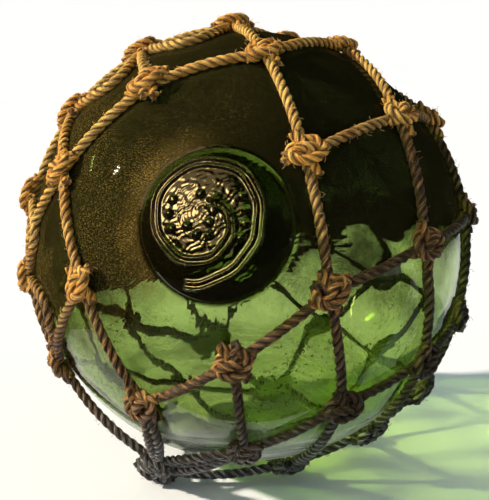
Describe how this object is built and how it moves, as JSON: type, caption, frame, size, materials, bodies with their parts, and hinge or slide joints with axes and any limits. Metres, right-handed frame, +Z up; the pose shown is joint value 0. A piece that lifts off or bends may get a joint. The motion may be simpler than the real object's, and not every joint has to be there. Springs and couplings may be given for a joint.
{
  "type": "glass float ball",
  "caption": "Sealed blown glass ball with a stamped seal button, held in a knotted rope net; it floats, hangs by its net or lies loose as an ornament",
  "frame": {"origin": "on the floor under the middle of the ball, at the flattened foot knot of the net", "axes": "+Z up, the stamped seal faces -Y and a little up, +X to the viewer's right when facing the seal"},
  "size_m": [0.3136, 0.3142, 0.3162],
  "materials": {
    "glass": "clear green blown glass, smooth, dusty on top, with seeds and scratches",
    "rope": "dry three-strand hemp twine, matte and hairy, sun-bleached on top"
  },
  "bodies": {
    "root": {"glass_ball": "glass", "rope_net": "rope"}
  },
  "joints": []
}
